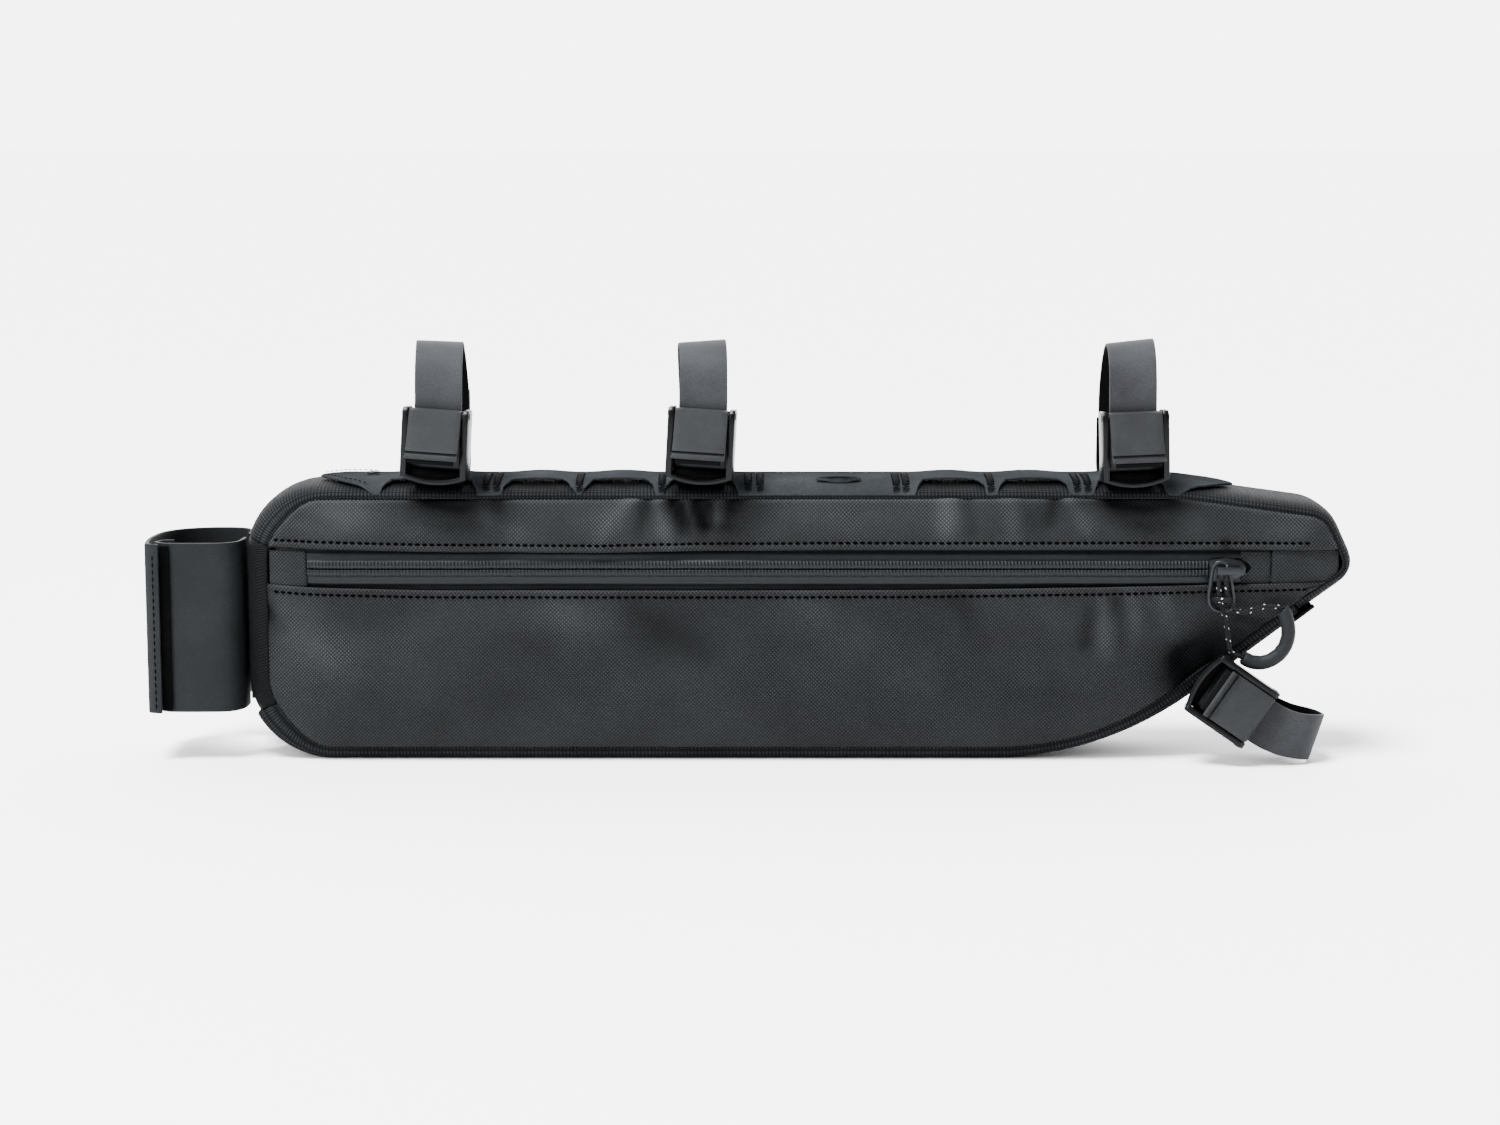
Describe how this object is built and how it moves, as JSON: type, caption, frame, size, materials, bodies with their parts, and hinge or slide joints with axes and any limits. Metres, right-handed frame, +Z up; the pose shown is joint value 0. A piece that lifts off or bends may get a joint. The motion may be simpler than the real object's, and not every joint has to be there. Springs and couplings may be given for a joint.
{
  "type": "bicycle frame bag",
  "caption": "Long slim zipped bag for a bicycle frame, with strap loops and cam buckles on a top rail, a slanting nose strap and an end wrap.",
  "frame": {"origin": "on the floor, in the middle of the flat bottom's run under the bag's length and width, as the bag stands when put down", "axes": "+X from the end wrap to the nose, +Y from the zipped front to the back, +Z up"},
  "size_m": [0.5084, 0.0724, 0.1771],
  "materials": {
    "coated_fabric": "charcoal coated fabric, satin",
    "woven_fabric": "black woven gusset, matte",
    "ribbed_webbing": "ribbed black webbing",
    "webbing": "black webbing",
    "moulded_rail": "grey coated strip with cut edges",
    "coated_strap": "slate grey coated webbing",
    "wrap_fabric": "charcoal wrap fabric",
    "zip_film": "coated zip tape",
    "buckle_plastic": "black satin plastic",
    "lever_plastic": "slate grey matte plastic",
    "coated_metal": "dark coated metal",
    "cord": "black cord with white flecks",
    "grip_rubber": "grey rubber"
  },
  "bodies": {
    "bag": {"back_panel": "coated_fabric", "bottom_gusset": "woven_fabric", "buckle_frame_1": "buckle_plastic", "buckle_frame_2": "buckle_plastic", "buckle_frame_3": "buckle_plastic", "buckle_frame_4": "buckle_plastic", "end_band": "ribbed_webbing", "front_lower": "coated_fabric", "front_upper": "coated_fabric", "hook_strip": "webbing", "nose_tab": "webbing", "pull_cord": "cord", "pull_grip": "grip_rubber", "pull_ring": "coated_metal", "rail_badge": "moulded_rail", "rail_eyelet": "buckle_plastic", "strap_1": "coated_strap", "strap_2": "coated_strap", "strap_3": "coated_strap", "strap_4": "coated_strap", "strap_base_1": "webbing", "strap_base_2": "webbing", "strap_base_3": "webbing", "strap_base_4": "webbing", "strap_rail": "moulded_rail", "top_gusset": "woven_fabric", "wrap_back": "wrap_fabric", "wrap_front": "wrap_fabric", "zip_garage": "coated_fabric", "zip_slider": "coated_metal", "zip_tab_left": "coated_fabric", "zip_tab_right": "coated_fabric", "zip_tape_lower": "zip_film", "zip_tape_upper": "zip_film"},
    "lever_1": {"cam_lever_1": "lever_plastic"},
    "lever_2": {"cam_lever_2": "lever_plastic"},
    "lever_3": {"cam_lever_3": "lever_plastic"},
    "lever_4": {"cam_lever_4": "lever_plastic"}
  },
  "joints": [
    {"name": "lever_1_hinge", "type": "hinge", "parent": "bag", "child": "lever_1", "pos_m": [-0.15074, -0.02987, 0.14688], "axis": [-0.9908, 0.1219, 0.0589], "range_deg": [0, 80]},
    {"name": "lever_2_hinge", "type": "hinge", "parent": "bag", "child": "lever_2", "pos_m": [-0.04067, -0.02988, 0.14698], "axis": [-0.993, 0.1045, 0.0555], "range_deg": [0, 80]},
    {"name": "lever_3_hinge", "type": "hinge", "parent": "bag", "child": "lever_3", "pos_m": [0.13846, -0.02989, 0.1458], "axis": [-0.9957, -0.0872, -0.0313], "range_deg": [0, 80]},
    {"name": "lever_4_hinge", "type": "hinge", "parent": "bag", "child": "lever_4", "pos_m": [0.19015, -0.03912, 0.02087], "axis": [0.5592, 0, 0.829], "range_deg": [0, 92]}
  ]
}
